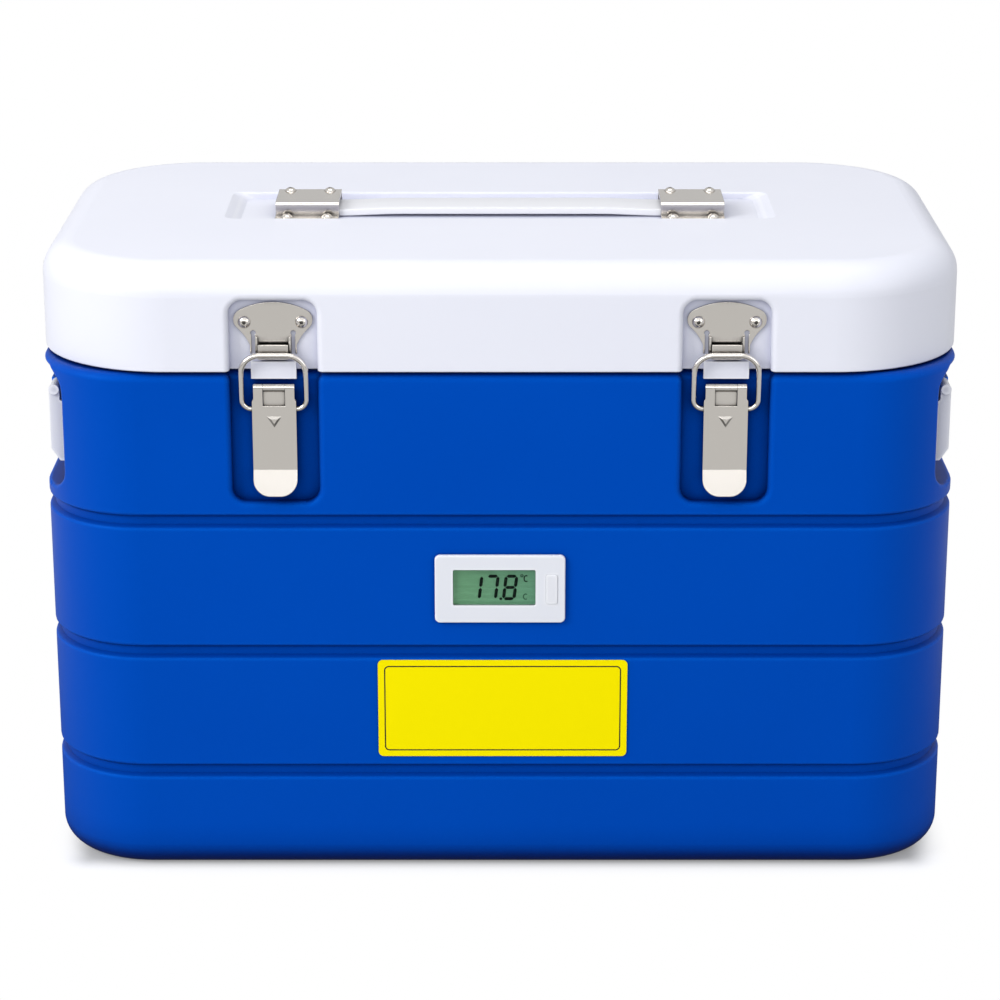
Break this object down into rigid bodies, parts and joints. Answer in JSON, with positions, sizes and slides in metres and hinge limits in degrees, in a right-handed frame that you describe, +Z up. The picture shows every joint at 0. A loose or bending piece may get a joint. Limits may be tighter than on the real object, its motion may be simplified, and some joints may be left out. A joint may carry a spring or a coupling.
{
  "type": "specimen transport box",
  "caption": "Insulated specimen transport box with a hinged white lid, two draw latches, a thermometer in its front, and side and top handles",
  "frame": {"origin": "centre of the flat base, on the surface the box stands on", "axes": "+Z up; +X along the box's length, to the right of someone facing its front; -Y out of the front, where the latches and the thermometer are"},
  "size_m": [0.53, 0.3117, 0.3735],
  "materials": {
    "blue_shell": "moulded, semi-gloss",
    "white_shell": "moulded, semi-gloss",
    "inner_plastic": "moulded, satin",
    "foam_core": "cut, matt; closed-cell foam",
    "white_handle": "moulded, satin",
    "bright_metal": "polished stainless",
    "label_film": "printed film, gloss",
    "meter_housing": "moulded, satin",
    "meter_button": "moulded, satin",
    "clear_window": "clear, polished",
    "lcd_glass": "reflective display",
    "circuit_board": "coated board",
    "cable_sheath": "extruded, satin",
    "black_rubber": "moulded, matt"
  },
  "bodies": {
    "box": {"outer_shell": "blue_shell", "body_foam": "foam_core", "inner_liner": "inner_plastic", "blank_label": "label_film", "thermometer_bezel": "meter_housing", "thermometer_lens": "clear_window", "lcd_panel": "lcd_glass", "thermometer_board": "circuit_board", "button_cells": "bright_metal", "thermometer_back_cover": "meter_housing", "probe_cable": "cable_sheath", "temperature_probe": "bright_metal", "probe_grommet": "black_rubber", "latch_base_left": "bright_metal", "latch_base_right": "bright_metal", "latch_pins": "bright_metal", "latch_base_screws": "bright_metal", "side_handle_pins": "white_handle", "body_hinge_leaf_left": "bright_metal", "body_hinge_leaf_right": "bright_metal", "hinge_pins": "bright_metal", "body_hinge_screws": "bright_metal"},
    "lid": {"lid_shell": "white_shell", "lid_foam": "foam_core", "lid_inner_panel": "inner_plastic", "lid_panel_screws": "bright_metal", "lid_gasket": "black_rubber", "lid_hinge_leaf_left": "bright_metal", "lid_hinge_leaf_right": "bright_metal", "lid_hinge_screws": "bright_metal", "keeper_left": "bright_metal", "keeper_right": "bright_metal", "keeper_screws": "bright_metal", "handle_bracket_left": "bright_metal", "handle_bracket_right": "bright_metal", "bracket_screws": "bright_metal", "strap_end_left": "white_handle", "strap_end_right": "white_handle"},
    "button": {"thermometer_button": "meter_button"},
    "strap": {"strap_grip": "white_handle"},
    "lever_left": {"latch_lever_left": "bright_metal"},
    "loop_left": {"latch_loop_left": "bright_metal"},
    "handle_left": {"side_handle_left": "white_handle"},
    "lever_right": {"latch_lever_right": "bright_metal"},
    "loop_right": {"latch_loop_right": "bright_metal"},
    "handle_right": {"side_handle_right": "white_handle"}
  },
  "joints": [
    {"name": "lid_hinge", "type": "hinge", "parent": "box", "child": "lid", "pos_m": [0, 0.1538, 0.3044], "axis": [-1, 0, 0], "range_deg": [0, 100]},
    {"name": "lever_left_pivot", "type": "hinge", "parent": "box", "child": "lever_left", "pos_m": [-0.1275, -0.1477, 0.2955], "axis": [-1, 0, 0], "range_deg": [0, 160]},
    {"name": "loop_left_pivot", "type": "hinge", "parent": "lever_left", "child": "loop_left", "pos_m": [-0.1275, -0.14735, 0.283], "axis": [1, 0, 0], "range_deg": [0, 160]},
    {"name": "side_handle_left_pivot", "type": "hinge", "parent": "box", "child": "handle_left", "pos_m": [-0.2562, 0, 0.286], "axis": [0, 1, 0], "range_deg": [0, 90]},
    {"name": "lever_right_pivot", "type": "hinge", "parent": "box", "child": "lever_right", "pos_m": [0.1275, -0.1477, 0.2955], "axis": [-1, 0, 0], "range_deg": [0, 160]},
    {"name": "loop_right_pivot", "type": "hinge", "parent": "lever_right", "child": "loop_right", "pos_m": [0.1275, -0.14735, 0.283], "axis": [1, 0, 0], "range_deg": [0, 160]},
    {"name": "side_handle_right_pivot", "type": "hinge", "parent": "box", "child": "handle_right", "pos_m": [0.2562, 0, 0.286], "axis": [0, -1, 0], "range_deg": [0, 90]},
    {"name": "button_press", "type": "slide", "parent": "box", "child": "button", "axis": [0, 1, 0], "range_m": [0, 0.0008], "stiffness_N_per_m": 300},
    {"name": "strap_lift", "type": "slide", "parent": "lid", "child": "strap", "axis": [0, 0, 1], "range_m": [0, 0.028], "deforming": ["strap_end_left", "strap_end_right"]}
  ],
  "couplings": [
    {"joint": "loop_left_pivot", "follows": "lever_left_pivot", "ratio": 1},
    {"joint": "loop_right_pivot", "follows": "lever_right_pivot", "ratio": 1}
  ]
}
